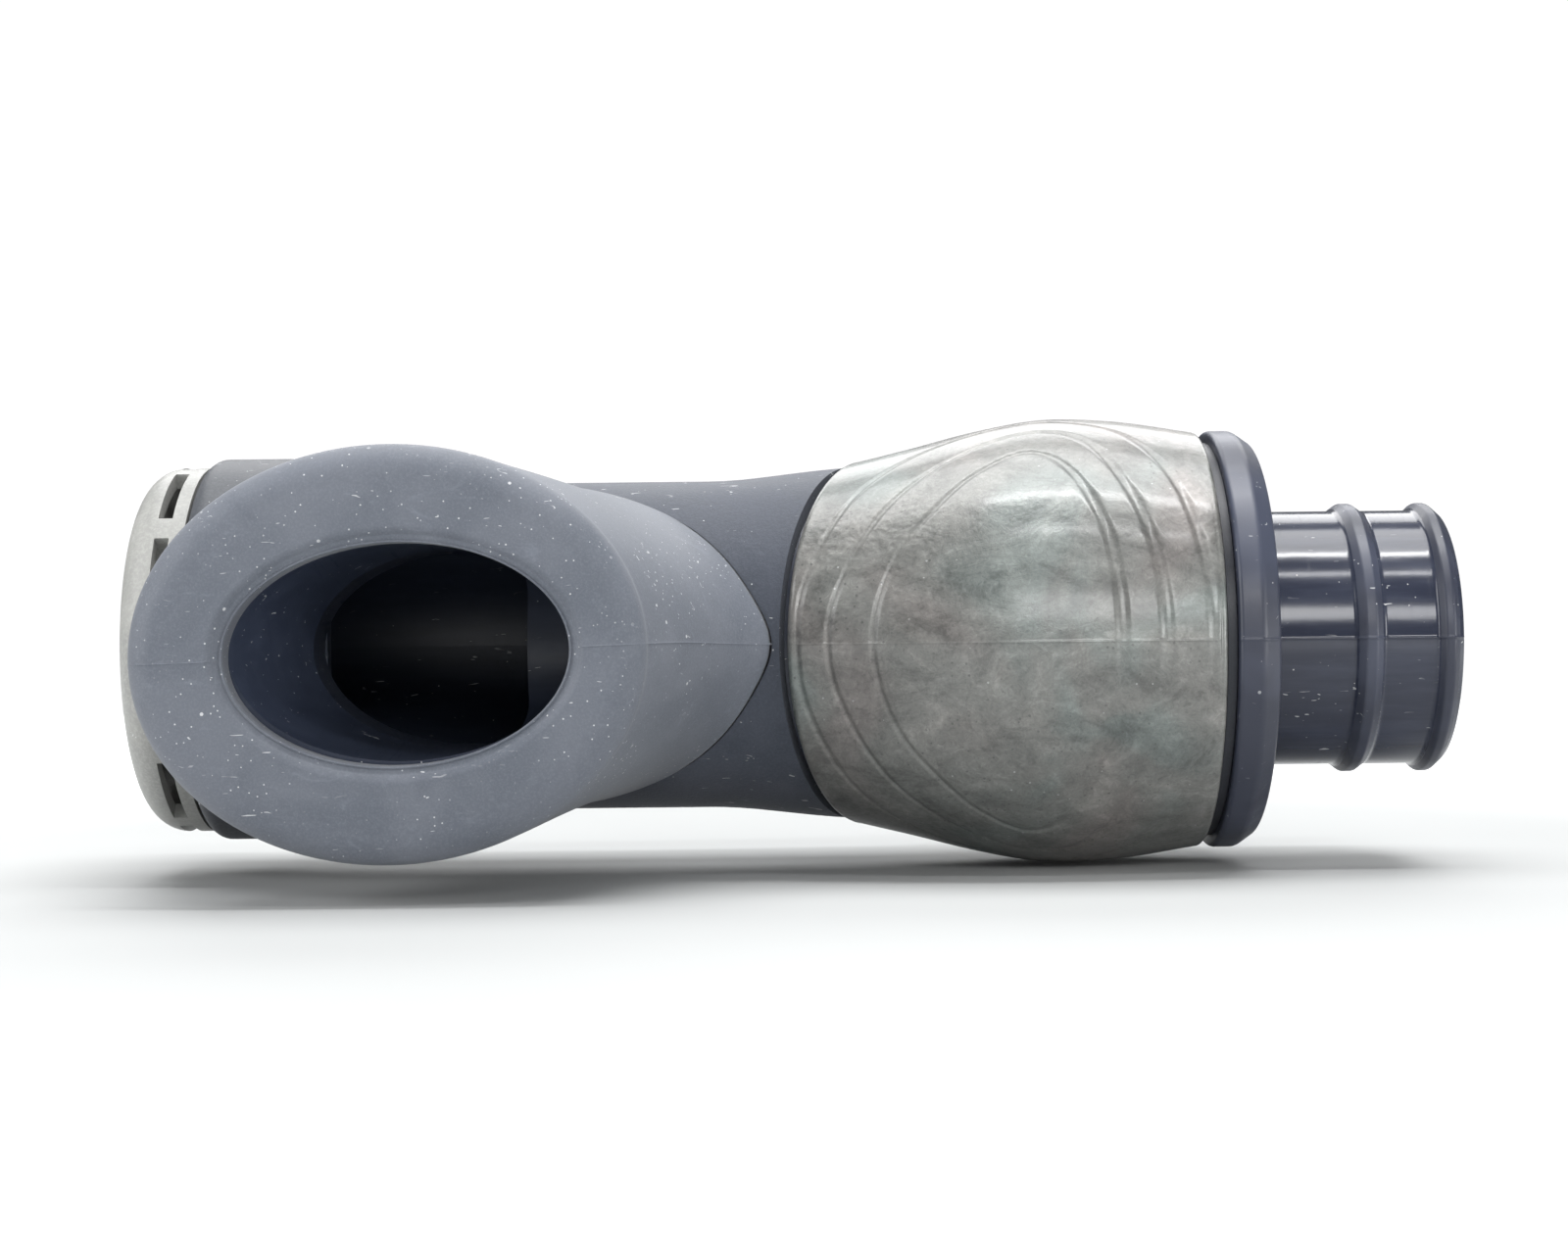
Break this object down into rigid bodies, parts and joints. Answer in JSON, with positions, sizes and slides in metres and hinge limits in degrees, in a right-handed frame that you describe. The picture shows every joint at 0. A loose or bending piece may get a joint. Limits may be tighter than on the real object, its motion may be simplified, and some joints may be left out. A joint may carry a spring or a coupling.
{
  "type": "snorkel tube mouth section",
  "caption": "Lower section of a snorkel tube: a soft oval mouth port on a round airway, a purge valve under a domed cap, a bulging cowl and a barbed swivel hose spigot.",
  "frame": {"origin": "centre of the hose spigot's open end face, on the airway's axis", "axes": "+X out of the spigot along the airway, -Y out of the mouth port, +Z square to the plane of symmetry; the part lies on its side"},
  "size_m": [0.1219, 0.056, 0.042],
  "materials": {
    "silicone": "matte dark blue-grey silicone",
    "soft_touch": "matte fine-grain black-grey soft-touch skin",
    "housing_black": "matte black moulded plastic",
    "core_black": "smooth black moulded plastic",
    "cowl_grey": "pearl metallic grey moulded plastic with flow marks",
    "cover_grey": "warm light grey moulded plastic",
    "connector_black": "glossy black moulded plastic",
    "seal_black": "black seal rubber",
    "washer_black": "low-friction black plastic",
    "diaphragm_clear": "soft milky silicone",
    "seat_black": "black moulded plastic",
    "ring_steel": "stainless spring steel"
  },
  "bodies": {
    "housing": {"body_core": "core_black", "body_sleeve": "soft_touch", "cowl": "cowl_grey", "cowl_lock_ring": "core_black", "housing_o_ring": "seal_black", "mouth_port_boot": "silicone", "port_collar": "core_black", "purge_cover": "cover_grey", "purge_housing": "housing_black", "purge_seat_o_ring": "seal_black", "purge_valve_seat": "seat_black", "swivel_thrust_washer": "washer_black"},
    "connector": {"hose_connector": "connector_black", "swivel_o_ring": "seal_black", "swivel_snap_ring": "ring_steel"},
    "diaphragm": {"purge_diaphragm": "diaphragm_clear"}
  },
  "joints": [
    {"name": "hose_swivel", "type": "hinge", "parent": "housing", "child": "connector", "pos_m": [-0.028, 0, 0], "axis": [1, 0, 0], "continuous": true},
    {"name": "purge_lift", "type": "slide", "parent": "housing", "child": "diaphragm", "axis": [-1, 0, 0], "range_m": [0, 0.0013], "stiffness_N_per_m": 40, "springref_m": -0.0005}
  ]
}
